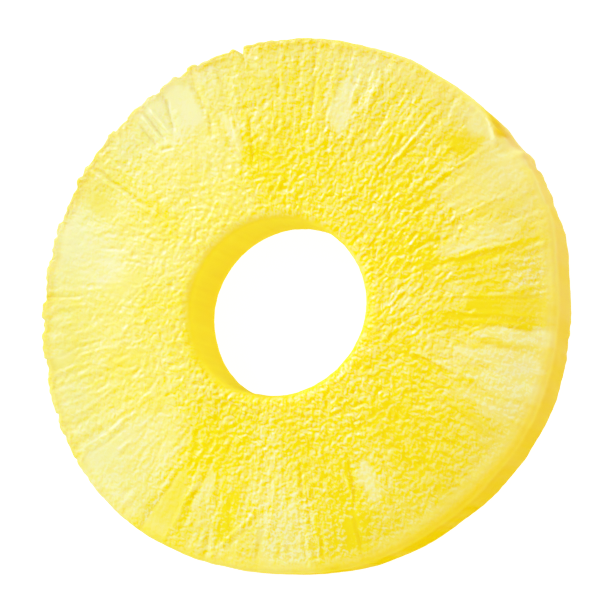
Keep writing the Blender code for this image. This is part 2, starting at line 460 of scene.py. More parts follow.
# %% Strokes for the creases
# from direction, radius, to direction, radius, height (below 0: a groove), half width, wander in mm
SEAMS = [
    (12.2, 20, 11.0, 40, -0.08, 0.30, 0.5),
    (13.3, 24, 12.8, 34, 0.12, 0.22, 0.3),
    (21.2, 19, 20.6, 27, -0.10, 0.40, 0.5),
    (24.6, 26, 24.2, 36, 0.14, 0.20, 0.2),
    (36.9, 29, 36.4, 35.5, 0.20, 0.22, 0.2),
    (41.4, 38.7, 35.4, 38.2, 0.12, 0.35, 0.0),
    (33, 27, 32, 33, 0.10, 0.20, 0.3),
    (68.7, 22, 66, 35.5, -0.12, 0.26, 0.6),
    (53.6, 20, 52.4, 36, -0.10, 0.24, 0.5),
    (52.6, 23, 51.6, 35, 0.08, 0.22, 0.5),
    (84.4, 27, 84.2, 34, -0.16, 0.22, 0.2),
    (85.5, 33, 84.4, 40, -0.14, 0.25, 0.3),
    (84, 24.5, 75, 31, 0.06, 0.40, 0.4),
    (107, 21, 103, 31, -0.15, 0.35, 0.6),
    (101, 30.2, 108, 31, -0.20, 0.25, 0.3),
    (110, 25.5, 109.4, 30, 0.20, 0.25, 0.2),
    (118, 28, 115, 32, -0.22, 0.30, 0.4),
    (115, 31.5, 116.5, 38, -0.22, 0.30, 0.5),
    (123, 38, 126, 32.5, -0.32, 0.25, 0.4),
    (127.6, 38.5, 127, 32, 0.36, 0.22, 0.2),
    (129.2, 38.5, 129.3, 32, -0.36, 0.22, 0.2),
    (130, 38.5, 130.2, 32.5, 0.32, 0.22, 0.2),
    (131.8, 38, 132, 32, -0.30, 0.24, 0.3),
    (128, 30.7, 132, 31.8, -0.32, 0.25, 0.1),
    (134.5, 38, 135, 33, 0.10, 0.22, 0.3),
    (146.9, 25, 146.3, 39.8, -0.20, 0.24, 0.3),
    (148, 26, 147.4, 38.5, 0.18, 0.24, 0.3),
    (151, 20, 160, 33, -0.12, 0.35, 0.6),
    (160, 23, 163.5, 33, -0.12, 0.30, 0.6),
    (156, 33, 155, 37, -0.12, 0.25, 0.3),
    (165, 22, 164.5, 28, -0.12, 0.30, 0.5),
    (177.2, 32, 177, 41, -0.16, 0.25, 0.2),
    (179.6, 31, 179.8, 38, 0.10, 0.22, 0.3),
    (184.5, 31, 184.2, 38, 0.10, 0.22, 0.3),
    (191.5, 27, 193, 34, 0.12, 0.25, 0.4),
    (189, 28, 191.5, 39, -0.10, 0.25, 0.3),
    (194.9, 35, 194.9, 41.5, 0.10, 0.22, 0.1),
    (196.5, 23, 195, 30, -0.05, 0.30, 0.3),
    (202, 24, 202.5, 34, -0.10, 0.25, 0.6),
    (204, 27, 205.5, 38, 0.10, 0.22, 0.5),
    (213.4, 27, 214.2, 40, 0.10, 0.22, 0.4),
    (220.5, 30, 220, 41, -0.06, 0.22, 0.2),
    (215.6, 30, 216, 41, -0.08, 0.22, 0.2),
    (226, 27, 229, 34, -0.10, 0.30, 0.4),
    (241.9, 28, 242, 42, 0.20, 0.25, 0.2),
    (236.2, 29, 235.8, 42, -0.12, 0.30, 0.4),
    (248.8, 26, 252, 42, -0.14, 0.35, 0.4),
    (244.2, 24, 243.3, 38, -0.07, 0.25, 0.4),
    (253.5, 39, 262.5, 30.5, 0.20, 0.22, 0.3),
    (256, 38, 264.5, 30.5, -0.10, 0.30, 0.4),
    (257.5, 36, 252.5, 29, -0.12, 0.30, 0.5),
    (263.5, 39, 266, 31, -0.12, 0.30, 0.4),
    (276.7, 24, 276.5, 40, 0.14, 0.20, 0.1),
    (275.8, 23, 275.8, 30, -0.12, 0.24, 0.1),
    (281.2, 24, 281, 38, 0.08, 0.20, 0.2),
    (288, 40, 289.6, 33, -0.16, 0.28, 0.3),
    (289.4, 33.5, 294, 24, -0.18, 0.30, 0.4),
    (290.6, 26.5, 289.6, 32, 0.22, 0.22, 0.3),
    (303.5, 26, 303.3, 33, -0.10, 0.30, 0.5),
    (318, 25, 322, 37, -0.08, 0.30, 0.6),
    (327.6, 26, 328, 38, -0.14, 0.24, 0.3),
    (329.3, 29, 329.3, 38, 0.12, 0.22, 0.2),
    (337.6, 20, 338, 30, 0.12, 0.22, 0.3),
    (336.6, 19, 336.6, 29, -0.14, 0.28, 0.4),
    (337, 29, 335, 36, -0.10, 0.22, 0.3),
    (341.5, 29, 341.5, 38, -0.12, 0.22, 0.3),
    (347.2, 28, 347.4, 40, -0.08, 0.22, 0.2),
    (352.4, 29, 352.2, 40, -0.14, 0.22, 0.2),
    (354, 24, 354.6, 41, -0.08, 0.24, 0.2),
    (355.6, 26, 355.8, 41, 0.08, 0.20, 0.2),
    (359.4, 25, 359.8, 41, -0.12, 0.22, 0.2),
    (2, 30, 2, 40, 0.10, 0.20, 0.3),
]
# the strewn ones: from direction, to direction, gap, lowest height, highest height
STREWN = [(42, 71, 2.2, -0.11, 0.10), (86, 112, 3.1, -0.08, 0.07), (133, 187, 3.6, -0.07, 0.06),
          (196, 236, 3.4, -0.09, 0.07)]
seam_rng = np.random.default_rng(71)
for first, last, gap, low, high in STREWN:
    for direction in np.arange(first, last, gap):
        inner, outer, height = seam_rng.uniform((20, 31, low), (28, 41, high))
        lean, aside = seam_rng.uniform(-1.3, 1.3, 2)
        SEAMS.append((direction + aside + lean, inner, direction + aside, outer, height, 0.26, 0.8))
# two stacks of wrinkles that lie across the fibres
for wrinkle in range(7):
    SEAMS.append((69.5, 31.5 + 0.9 * wrinkle, 82, 30.8 + 1.0 * wrinkle, 0.07, 0.22, 0.6))
    SEAMS.append((138, 31.5 + 1.1 * wrinkle, 145, 31.8 + 1.1 * wrinkle, 0.04, 0.25, 0.4))


def spot(direction, reach):
    """The x and y of a place given by its direction in degrees and its radius."""
    return reach * np.array([math.cos(math.radians(direction)), math.sin(math.radians(direction))])


def stroke(x, y, start, end, half):
    """1 on a straight line between two places given as (direction, radius), and 0 away from it.

    Across the line it is a bell, and along it it fades in over a quarter and out over a fifth.
    """
    a, b = spot(*start), spot(*end)
    length = np.linalg.norm(b - a)
    way = (b - a) / length
    along = (x - a[0]) * way[0] + (y - a[1]) * way[1]
    aside = (y - a[1]) * way[0] - (x - a[0]) * way[1]
    fade = smooth_rise(along, 0, 0.25 * length) * (1 - smooth_rise(along, 0.8 * length, length))
    return bell(aside, half) * fade


def seam_height(x, y):
    """The heights of all seams, each one its height times its stroke.

    Noise moves each place a little before it is measured, so that no seam is straight.
    """
    bend_x, bend_y = noise(x / 3, y / 3, 0.5, 31), noise(x / 3, y / 3, 7.5, 32)
    total = np.zeros_like(x)
    for turn_a, reach_a, turn_b, reach_b, height, half, wander in SEAMS:
        moved = x + wander * bend_x, y + wander * bend_y
        total += height * stroke(*moved, (turn_a, reach_a), (turn_b, reach_b), half)
    return total


print(len(SEAMS), "creases and ridges")

# %% [markdown]
# ## The relief of the face
#
# Three kinds of bump share the cut face. Round the core lies a fine grain, a little longer from the hole
# to the rim than across, and on one side the blade swept it over into short ridges. Further out there
# are pebbly cells, and towards the rim the fibres that run from the core show as long ridges. One noise
# would make all of it alike. So each kind is noise with its own proportions, and smooth weights over the
# radius hand over from one to the next.

# %% Grain, pebbles and fibres
GRAIN_HEIGHT = 0.16
PEBBLE_HEIGHT = 0.15
FIBRE_HEIGHT = 0.14
SWELL_HEIGHT = 0.12
FACE_SINK = 0.30
PALE_SIDE = 163
SWEEP = 40
SWEPT_AT = 20


def swept_share(angle, radius):
    """How much the blade swept the grain over, from 0 to 1: most near the core, on one side of it."""
    return bell(turn_from(angle, SWEPT_AT), 55) * (1 - smooth_rise(radius, 22, 32))


def pale_side(angle):
    """1 on the paler side, partly denser fruit and partly painted light from the lamp's side; 0 on the
    other.
    """
    return smooth_rise(np.cos(np.radians(turn_from(angle, PALE_SIDE))), 0.2, 0.85)


def face_relief(angle, radius, smooth, seam):
    """The summed heights of grain, pebbles, fibres and seams, in mm.

    Grain is noise a little longer from the hole to the rim than across. Where it is swept, it is noise
    drawn out along the sweep instead. Pebbles are as wide as long, and fibres are drawn out from the hole
    to the rim. The weights over the radius hand over from one to the next.
    """
    x, y = radius * np.cos(angle), radius * np.sin(angle)
    bend_x = 0.5 * noise(x / 2.2, y / 2.2, 0.5, 41)
    bend_y = 0.5 * noise(x / 2.2, y / 2.2, 7.5, 42)
    sweep = math.radians(SWEEP)
    along = x * math.cos(sweep) + y * math.sin(sweep) + bend_x
    across = y * math.cos(sweep) - x * math.sin(sweep) + bend_y
    swept = noise(along / 1.1, across / 0.42, 0.5, 43)
    grain = round_noise(angle + bend_x / 25, radius + bend_y, 0.85, 0.62, 47)
    grain = blend_share(swept_share(angle, radius), grain, swept)
    pebble = noise((x + bend_x) / 0.6, (y + bend_y) / 0.6, 0.5, 44)
    fibre = round_noise(angle + bend_x / 60, radius, 0.8, 5.0, 46)
    inner = 1 - smooth_rise(radius, 16, 24)
    outer = smooth_rise(radius, 21, 33)
    near_hole = 0.65 + 0.35 * smooth_rise(radius, 14, 19)
    height = GRAIN_HEIGHT * inner * near_hole * grain * (1 - 0.7 * smooth) + seam
    height = height + PEBBLE_HEIGHT * (1 - 0.5 * outer) * pebble * (1 - 0.85 * smooth)
    return height + FIBRE_HEIGHT * outer * fibre * (1 - 0.8 * smooth) * (1 - 0.35 * pale_side(angle))


TRIAL = face_relief(ALL_ROUND[:, None], np.linspace(16, 38, 120)[None, :], 0, 0)
print(f"grain, pebbles and fibres stand {TRIAL.min():.2f} to {TRIAL.max():.2f} mm from the face")

# %% [markdown]
# ## How pale each place is
#
# The mesh carries looks as well as shape: each point stores how pale, how bumpy and how dim it is, and
# the material reads these numbers. A painted picture would need unwrapping and a file. Numbers on the
# points need neither, and they come from the same directions and radii as the shape, so a pale wedge,
# its smooth skin and the worn rim beside it can't drift apart.
#
# Paleness goes from 0, glassy and deep yellow, to 1, dense and cream. At the rim it changes: where the
# corner is worn round it is an even band, and where it is torn a deeper line runs inside it.
# At the broken lip a painted highlight runs along the edge, and painted golden shade fills the gap behind
# it.

# %% Paleness of the cut face
CREAM_SIDE = 100
ROUNDED_AT = 312
# direction, half turn, distance from the rim in mm, half width in mm, how much paler
RIM_TINTS = [(3, 14, 0.8, 0.9, 0.20), (236, 10, 2.0, 1.1, 0.15), (285, 9, 1.0, 0.6, 0.17)]


def rounded_band(angle, to_rim):
    """1 on the band along the rim that is worn smooth and round, and 0 on the rest of the face."""
    return bell(turn_from(angle, ROUNDED_AT), 30) * smooth_rise(-to_rim, -3.4, -1.8)


def lip_marks(x, y, angle, radius, upward):
    """A painted highlight along the broken lip, and painted shade in the gap behind it, from 0 to 1."""
    painted_lip_highlight = stroke(x, y, (41.5, 39.4), (39.2, 39.05), 0.18)
    painted_lip_highlight = np.maximum(painted_lip_highlight, stroke(x, y, (39.5, 39.1), (36.2, 38.0), 0.28))
    painted_lip_shade = bell(turn_from(angle, 40.3), 3.3) * smooth_rise(radius, 39.5, 39.8)
    painted_lip_shade = np.maximum(painted_lip_shade, 0.9 * stroke(x, y, (42.3, 40.0), (35.2, 39.3), 0.45))
    return painted_lip_highlight, painted_lip_shade * smooth_rise(upward, 6.5, 8.5) * (1 - painted_lip_highlight)


def paleness(angle, radius, patches):
    """How pale the flesh is without its wedges: a base, more on the pale side and outwards, and patches."""
    side = pale_side(angle)
    cream = 0.12 + 0.12 * np.cos(np.radians(turn_from(angle, CREAM_SIDE)))
    # the pale side is partly denser fruit and partly painted light from the lamp's side
    pale = 0.07 + 0.34 * side + smooth_rise(radius, 20, 33) * cream + (0.08 + 0.06 * side) * patches
    return pale + 0.10 * (1 - side) * (1 - smooth_rise(radius, 17, 23))


def with_rounded_rim(pale, angle, to_rim):
    """Evens paleness out on the rounded band, and lets it go where the band turns over the corner."""
    band = rounded_band(angle, to_rim)
    pale = pale * (1 - 0.6 * band) + 0.24 * band
    return pale * (1 - 0.85 * bell(turn_from(angle, ROUNDED_AT), 30) * smooth_rise(-to_rim, -1.4, -0.2))


def edge_tints(angle, to_rim, to_hole, patches):
    """How much paler the edges are: the torn rim's lines, the deeper edge of the hole, and the tints."""
    line = 0.15 * bell(to_rim - 0.9, 0.6) * (1 + patches) - 0.09 * bell(to_rim - 2.4, 1)
    tint = -(1 - worn_share(angle)) * line
    tint = tint - 0.28 * bell(turn_from(angle, 208), 26) * (1 - smooth_rise(to_hole, 0.5, 2.0))
    for direction, half, inside, width, change in RIM_TINTS:
        tint = tint + change * bell(turn_from(angle, direction), half) * bell(to_rim - inside, width)
    return tint


TRIAL = paleness(ALL_ROUND[:, None], np.linspace(16, 38, 50)[None, :], 0)
print(f"before its wedges the flesh is {TRIAL.min():.2f} to {TRIAL.max():.2f} pale")

# %% [markdown]
# ## How bumpy and how dim each place is
#
# Fine relief shows strongly where the flesh is soft and wet, and hardly at all on smooth, dense wedges.
# So one number says how much of it the material should use.
#
# Another says how dim a place is. Fruit is lit from within: light goes in, wanders a few millimetres and
# comes out again. Near a rim a good part of it leaves through the wall, so the face darkens outwards.
# Following light that far takes many samples, and it would blur the fine grain as well. A number on each
# point paints the same slow change as shade, and keeps the grain crisp. It also holds painted shade on the
# walls and at the torn rim, and painted light on the worn rim and at the broken lip.

# %% Bumpiness and dimness
# direction, half turn, radius where it starts, radius where it is full, how much more (below 0: less)
BUMPY_AREAS = [
    (132, 22, 20, 28, 0.7),
    (0, 80, 26, 31, -0.2),
    (302, 28, 30, 26, 0.16),
    (195, 45, 23, 17, -0.2),
    (350, 26, 23, 29, -0.4),
]
BRIGHT_SIDE = 215


def bumpiness(angle, radius, smooth, patches):
    """How strongly fine relief shows: weak on smooth flesh, on the pale side and beside the hole."""
    strength = 0.80 * (1 - 0.8 * smooth) * (1 + 0.3 * patches)
    strength = strength * (1 - (0.45 - 0.18 * smooth_rise(radius, 22, 28)) * pale_side(angle))
    strength = strength * (1 - 0.25 * smooth_rise(radius, 30, 38)) * (1 - 0.15 * smooth_rise(radius, 23, 17))
    for direction, half, start, full, change in BUMPY_AREAS:
        area = bell(turn_from(angle, direction), half) * smooth_rise(radius, start, full)
        strength = strength * (1 + change * area)
    return strength


def face_dimness(angle, radius, to_rim, face, patches):
    """How dim the cut face is: 1 takes away the share RIM_DIM of its colour.

    All of it is painted shade and light. It rises towards the rim. A faint ring runs half way out, dimmest
    opposite the bright side, and there are two faint areas. At the torn rim the corner itself is painted
    dimmer, and at the worn rim and beside the broken lip it is painted brighter.
    """
    worn = worn_share(angle)
    torn = (1 - worn) * (1 - 0.8 * bell(turn_from(angle, 45), 35))
    away = 0.5 - 0.5 * np.cos(np.radians(turn_from(angle, BRIGHT_SIDE)))
    dim = (0.64 - 0.05 * worn - 0.36 * bell(turn_from(angle, 245), 35)) * smooth_rise(radius, 27.5, 38)
    dim = dim + 0.25 * bell(turn_from(angle, 230), 35) * smooth_rise(radius, 23, 17)
    dim = dim + 0.16 * bell(turn_from(angle, 85), 35) * smooth_rise(radius, 36, 32)
    dim = dim + 0.25 * away * bell(radius - 27, 4.5)
    dim = dim + 0.55 * (1 - worn) * smooth_rise(-to_rim, -2.0, -0.8)
    dim = dim - worn * (0.20 * smooth_rise(-to_rim, -2.6, -1.4) + 0.55 * smooth_rise(-to_rim, -1.1, -0.5))
    corner = (1 - face) * (radius > HALF_WAY)
    dim = dim + torn * (0.6 * bell(to_rim, 0.8) * (1 + 0.6 * patches) + 1.2 * corner)
    return dim - 0.3 * bell(turn_from(angle, 33), 3) * smooth_rise(radius, 38.3, 39.5)


def wall_dimness(angle, radius, upward, low):
    """Painted shade on the walls: the hole's wall on two sides, and the outer wall at its foot and torn
    edge.
    """
    inside = (2.8 + 1.5 * low) * bell(turn_from(angle, 252), 24) + 0.5 * bell(turn_from(angle, 95), 28)
    outside = 0.12 + 0.25 * low + 1.0 * (1 - worn_share(angle)) * smooth_rise(upward, 8.5, 10.2)
    return np.where(radius > HALF_WAY, outside, inside)


TRIAL = bumpiness(ALL_ROUND[:, None], np.linspace(16, 38, 50)[None, :], 0, 0)
print(f"bumpiness of rough flesh: {TRIAL.min():.2f} to {TRIAL.max():.2f}")

# %% [markdown]
# ## Shaping a band of the grid
#
# A ring is a closed band both ways: round the hole, and round its own section. So a grid covers it with
# no pole and no open edge. But a grid with the same columns everywhere would be three times as fine at
# the hole as at the rim. So there are two bands: one round the hole, and one round the rim with twice as
# many columns, stitched together with triangles.
#
# The same function shapes both. It also keeps how steep the relief is along one direction, the lamp's
# side: slopes that look towards that side are painted paler, a painted highlight where wet flesh would
# mirror the lamp. Like the dimness, it is light kept beside the shape, and it gives the face its crisp
# grain.

# %% One function shapes both bands
HOLE_COLUMNS = 450
# slopes that face this side are painted paler: a painted highlight for the lamp's reflection
PAINTED_SHEEN_SIDE = 125
LEMON_SIDE = 185


def slope_along(relief, radius, angle, columns):
    """How steeply the relief falls towards the lamp's side, from its slopes outwards and round the ring."""
    step = np.gradient(radius, axis=1)
    outwards = np.gradient(relief, axis=1) / np.where(step == 0, 1, step)
    onwards = (np.roll(relief, -1, axis=0) - np.roll(relief, 1, axis=0)) * columns / (4 * math.pi * radius)
    lamp_way = angle - math.radians(PAINTED_SHEEN_SIDE)
    return onwards * np.sin(lamp_way) - outwards * np.cos(lamp_way)


def shape_band(columns, section_half):
    """The points of one band in mm, and what the material needs to know about each of them.

    A point keeps its share of the way from hole to rim, and is then pushed out along the way that the
    section faces there: by the relief on the face, and by faint ripples on the walls.
    """
    angle = (2 * math.pi * np.arange(columns) / columns)[:, None]
    inward, upward, facing = (np.concatenate([s[k] for s in section_half(angle)], axis=1) for k in range(3))
    hole = hole_line(angle)
    rim = rim_line(angle) + rim_shift(angle, upward / THICKNESS)
    radius = hole + inward / FACE_WIDTH * (rim - hole)
    x, y = radius * np.cos(angle), radius * np.sin(angle)
    to_rim = rim - radius

    face = smooth_rise(np.sin(facing), 0.35, 1.0)
    under = smooth_rise(-np.sin(facing), 0.35, 1.0)
    wall = 1 - smooth_rise(abs(np.sin(facing)), 0.3, 0.95)
    seam = seam_height(x, y)
    wedge_pale, smooth, painted_glint_share = wedge_fields(angle, radius)
    relief = face_relief(angle, radius, smooth, seam)
    swell = SWELL_HEIGHT * noise(x / 5, y / 5, 0.5, 51)
    ripple = 0.05 * round_noise(angle, upward, 2.5, 6.0, 52)
    ripple = ripple + 0.02 * round_noise(angle, upward, 0.9, 3.0, 53)
    lift = face * (relief + swell - FACE_SINK) + wall * ripple
    out, up = radius + lift * np.cos(facing), upward + lift * np.sin(facing)

    # painted highlight on the broken lip, paler and less dim; painted shade in the gap behind it, in wall
    # gold
    painted_lip_highlight, painted_lip_shade = lip_marks(x, y, angle, radius, upward)
    turned_up = smooth_rise(np.sin(facing), 0.2, 0.85)
    skin = np.where(radius > HALF_WAY, smooth_rise(upward, 8.8, 10.8), turned_up)
    skin = np.maximum(np.maximum(skin, under), painted_lip_highlight) * (1 - 0.85 * painted_lip_shade)
    patches = noise(x / 4, y / 4, 0.5, 61) + 0.5 * noise(x / 1.8, y / 1.8, 0.5, 62)
    worn_edge = worn_share(angle) ** 2 * smooth_rise(-to_rim, -1.6, -0.8)
    smooth = np.maximum(smooth, 0.95 * np.maximum(rounded_band(angle, to_rim), worn_edge))
    face_pale = with_rounded_rim(paleness(angle, radius, patches) + wedge_pale, angle, to_rim)
    face_pale = face_pale + edge_tints(angle, to_rim, radius - hole, patches) + 1.1 * painted_lip_highlight - 0.9 * painted_lip_shade
    wall_pale = 0.10 * (1 - bell(turn_from(angle, 295), 25)) + 0.45 * bell(turn_from(angle, 18), 34)
    wall_pale = (wall_pale + 0.6 * bell(turn_from(angle, 34), 8) + 0.10 * patches) * (1 - painted_lip_shade)
    low = 1 - np.clip(upward / THICKNESS, 0, 1) + 0 * angle
    dim = face_dimness(angle, radius, to_rim, face, patches) - 1.5 * painted_lip_highlight
    by_hole = smooth_rise(radius, 23, 17)
    lemon = 0.5 + 0.5 * np.cos(np.radians(turn_from(angle, LEMON_SIDE)))
    looks = {
        "pale": blend_share(skin, wall_pale, face_pale),
        "bumpy": bumpiness(angle, radius, smooth, patches) * np.maximum(face, under),
        "raised": face * (relief / 0.15 - smooth_rise(-seam, 0.06, 0.25)),
        # painted highlight on slopes that face the lamp's side
        "painted_sheen": face * slope_along(relief, radius, angle, columns) * (1 - 0.25 * by_hole),
        # painted glints, faded out near the rim
        "painted_glint_share": painted_glint_share * smooth_rise(to_rim, 1.2, 2.2),
        "wall": 1 - skin,
        "low": low,
        "outward": smooth_rise(radius, 18, 32),
        # painted shade, and painted light where it falls below 0
        "dim": blend_share(skin, wall_dimness(angle, radius, upward, low), dim),
        "lemon": lemon * (0.55 + 0.45 * smooth_rise(radius, 28, 36)),
        "milky": pale_side(angle) * smooth_rise(radius, 19, 28),
        "swept": swept_share(angle, radius),
    }
    points = np.stack([out * np.cos(angle), out * np.sin(angle), up], axis=-1)
    return points, looks


hole_band = shape_band(HOLE_COLUMNS, hole_side)
rim_band = shape_band(2 * HOLE_COLUMNS, rim_side)
print("hole band", hole_band[0].shape, "rim band", rim_band[0].shape)

# %% [markdown]
# ## One closed mesh
#
# Inside a band, each square of the grid becomes two triangles. Where the bands meet, each side of the
# coarse row looks at three points of the fine one, and three triangles fill the gap. Everything is done
# with arrays of point numbers, shifted by `np.roll` to reach the neighbours. The looks become attributes
# of the mesh's points under the names that the material will ask for.


# %% Triangles of the bands and of the two stitches
def band_triangles(number):
    """Two triangles for each square of a band whose columns close on themselves, facing outwards."""
    here, above = number[:, :-1], number[:, 1:]
    beside, across = np.roll(here, -1, axis=0), np.roll(above, -1, axis=0)
    first = np.stack([here, above, across], axis=-1)
    second = np.stack([here, across, beside], axis=-1)
    return np.concatenate([first.reshape(-1, 3), second.reshape(-1, 3)])


def stitch_triangles(coarse, fine):
    """Three triangles between each two points of a coarse row and the three fine points beside them."""
    after = np.roll(coarse, -1)
    left, middle = fine[0::2], fine[1::2]
    right = np.roll(left, -1)
    fans = [(coarse, left, middle), (coarse, middle, after), (after, middle, right)]
    return np.concatenate([np.stack(fan, axis=-1) for fan in fans])


def mesh_from_triangles(name, points, triangles):
    """A smooth mesh from rows of points in metres and rows of three point numbers."""
    mesh = bpy.data.meshes.new(name)
    mesh.vertices.add(len(points))
    mesh.vertices.foreach_set("co", points.astype(np.float32).ravel())
    mesh.loops.add(triangles.size)
    mesh.loops.foreach_set("vertex_index", triangles.astype(np.int32).ravel())
    mesh.polygons.add(len(triangles))
    mesh.polygons.foreach_set("loop_start", np.arange(0, triangles.size, 3, dtype=np.int32))
    mesh.update(calc_edges=True)
    mesh.shade_smooth()
    return mesh


def joined(first, second):
    """Both bands in one long array, in the order of their point numbers."""
    return np.concatenate([first.reshape(-1, *first.shape[2:]), second.reshape(-1, *second.shape[2:])])


hole_number = np.arange(hole_band[0][..., 0].size).reshape(hole_band[0].shape[:2])
rim_number = hole_number.size + np.arange(rim_band[0][..., 0].size).reshape(rim_band[0].shape[:2])
top_stitch = stitch_triangles(hole_number[:, -1], rim_number[:, 0])
bottom_stitch = stitch_triangles(hole_number[:, 0], rim_number[:, -1])[:, ::-1]
bands = [band_triangles(hole_number), band_triangles(rim_number)]
triangles = np.concatenate([*bands, top_stitch, bottom_stitch])
ring_mesh = mesh_from_triangles("pineapple_slice", joined(hole_band[0], rim_band[0]) * MM, triangles)
for look in hole_band[1]:
    values = joined(hole_band[1][look], rim_band[1][look])
    attribute = ring_mesh.attributes.new(look, "FLOAT", "POINT")
    attribute.data.foreach_set("value", values.astype(np.float32))
ring = bpy.data.objects.new("pineapple_slice", ring_mesh)
bpy.context.scene.collection.objects.link(ring)
print(f"{len(ring_mesh.vertices)} points, {len(ring_mesh.polygons)} triangles")

# %% [markdown]
# ## Short names for nodes
#
# A material in Blender is a net of small nodes. Made one by one, in full, a net takes pages. These few
# helpers make one node each and give back its output, so a formula of nodes reads almost like a formula.

# %% Helpers for nodes
def new_material(name):
    """A new material, its node tree and its Principled shader."""
    material = bpy.data.materials.new(name)
    material.use_nodes = True
    return material, material.node_tree, material.node_tree.nodes["Principled BSDF"]


def plug(tree, socket, value):
    """Links a socket to another one, or sets its value."""
    if isinstance(value, bpy.types.NodeSocket):
        tree.links.new(value, socket)
    else:
        socket.default_value = value


def add_node(tree, kind, output, settings, inputs):
    """Adds a node, sets its properties and its sockets, and gives back one of its outputs."""
    node = tree.nodes.new(kind)
    for key, value in settings.items():
        setattr(node, key, value)
    for key, value in inputs.items():
        plug(tree, node.inputs[key], value)
    return node.outputs[output]


def attribute_of(tree, name):
    """One of the looks that the mesh keeps on its points."""
    return add_node(tree, "ShaderNodeAttribute", "Fac", {"attribute_name": name}, {})


def calculate(tree, operation, first, second, clamp=False):
    """A sum, a product or the like of two values; clamp keeps the result between 0 and 1."""
    settings = {"operation": operation, "use_clamp": clamp}
    return add_node(tree, "ShaderNodeMath", 0, settings, {0: first, 1: second})


def blend(tree, share, first, second, kind="FLOAT"):
    """Mixes two values or two colours by a share."""
    sockets = {"FLOAT": (2, 3, 0), "RGBA": (6, 7, 2)}[kind]
    inputs = {0: share, sockets[0]: first, sockets[1]: second}
    return add_node(tree, "ShaderNodeMix", sockets[2], {"data_type": kind}, inputs)


def calculate_vector(tree, operation, first, second=(0, 0, 0), output="Vector"):
    """The same for vectors and colours."""
    return add_node(tree, "ShaderNodeVectorMath", output, {"operation": operation}, {0: first, 1: second})


def scaled(tree, value, factor):
    """A value times a number or another value."""
    return calculate(tree, "MULTIPLY", value, factor)


print("looks on the points:", ", ".join(sorted(hole_band[1])))

# %% [markdown]
# ## Fine relief
#
# The grid has a point about every quarter of a millimetre. What is finer comes from noise in the
# material: small cells and short grain round the core, crumbs and fibres near the rim, with the same
# sweep as the mesh.
#
# It serves three times. Its difference between two places, one a small step towards the lamp's side of
# the other, says which way it slopes, and so how pale it looks: a painted highlight on slopes that face
# the lamp. Its height makes the hollows deeper yellow, partly juice in them and partly painted shade.
# And as a bump it breaks up the glints.

# %% Fine relief
# the step between the two readings whose difference paints the lamp's sheen
PAINTED_SHEEN_STEP = 0.35
CRUMB_SIZE = 0.62
CELL_SIZE = 1.00
# sizes in mm: grain and fibres are given round the ring and outwards, swept grain along and across
GRAIN_SIZE = (0.95, 0.72)
SWEPT_SIZE = (1.4, 0.56)
FIBRE_SIZE = (0.90, 4.0)


def noise_texture(tree, place, size, detail=2.0, distortion=0.0):
    """Blender's noise with bumps of the given size, centred on 0 and about -1 to 1."""
    inputs = {"Vector": place, "Scale": 1 / size, "Detail": detail, "Distortion": distortion}
    value = add_node(tree, "ShaderNodeTexNoise", "Fac", {}, inputs)
    return scaled(tree, calculate(tree, "SUBTRACT", value, 0.5), 3.0)


def sharpened(tree, value, start, end):
    """-1 before start and 1 after end, with an S curve between: bumps with flat tops and steep sides."""
    settings = {"interpolation_type": "SMOOTHSTEP"}
    inputs = {"Value": value, "From Min": start, "From Max": end, "To Min": -1.0, "To Max": 1.0}
    return add_node(tree, "ShaderNodeMapRange", 0, settings, inputs)


def crests(tree, value):
    """-1 along the lines where the noise changes sign, and 1 between them: cells in thin creases."""
    return sharpened(tree, calculate(tree, "ABSOLUTE", value, 0.0), 0.0, 0.6)


def wound_place(tree, place, across, along):
    """Where to read noise that follows the ring: the direction wound on a circle, the radius upwards.

    Its bumps are as wide as across, in mm at the wound radius, and as long as along.
    """
    flat = calculate_vector(tree, "MULTIPLY", place, (1, 1, 0))
    unit = calculate_vector(tree, "NORMALIZE", flat)
    wound = calculate_vector(tree, "MULTIPLY", unit, [WOUND / across] * 3)
    reach = calculate(tree, "DIVIDE", calculate_vector(tree, "LENGTH", flat, output="Value"), along)
    upwards = add_node(tree, "ShaderNodeCombineXYZ", 0, {}, {"Z": reach})
    return calculate_vector(tree, "ADD", wound, upwards)


def swept_place(tree, place, along, across):
    """Where to read noise whose bumps are as long as along in the sweep, and as wide as across, in mm."""
    turn = math.radians(SWEEP)
    ways = {
        "X": (math.cos(turn) / along, math.sin(turn) / along, 0),
        "Y": (-math.sin(turn) / across, math.cos(turn) / across, 0),
    }
    parts = {axis: calculate_vector(tree, "DOT_PRODUCT", place, way, "Value") for axis, way in ways.items()}
    return add_node(tree, "ShaderNodeCombineXYZ", 0, {}, parts)


def fine_height(tree, place, outward, milky, swept):
    """Fine relief at a place in mm: cells and grain round the core, crumbs and fibres near the rim."""
    blobs = noise_texture(tree, place, CRUMB_SIZE, 1.0, 0.5)
    crumbs = blend(tree, milky, sharpened(tree, blobs, -0.40, 0.40), scaled(tree, blobs, 1.6))
    cells = blend(tree, outward, crests(tree, noise_texture(tree, place, CELL_SIZE, 0.6, 0.7)), crumbs)
    straight = noise_texture(tree, wound_place(tree, place, *GRAIN_SIZE), 1.0, 0.8, 0.5)
    slanted = noise_texture(tree, swept_place(tree, place, *SWEPT_SIZE), 1.0, 0.8, 0.5)
    fibres = noise_texture(tree, wound_place(tree, place, *FIBRE_SIZE), 1.0, 1.0, 0.3)
    drawn = blend(tree, outward, blend(tree, swept, straight, slanted), fibres)
    drawn = scaled(tree, drawn, blend(tree, milky, 1.5, 0.9))
    return calculate(tree, "ADD", drawn, scaled(tree, cells, 0.7))


print(f"finest crumbs {CRUMB_SIZE} mm, read a second time {PAINTED_SHEEN_STEP} mm further on")

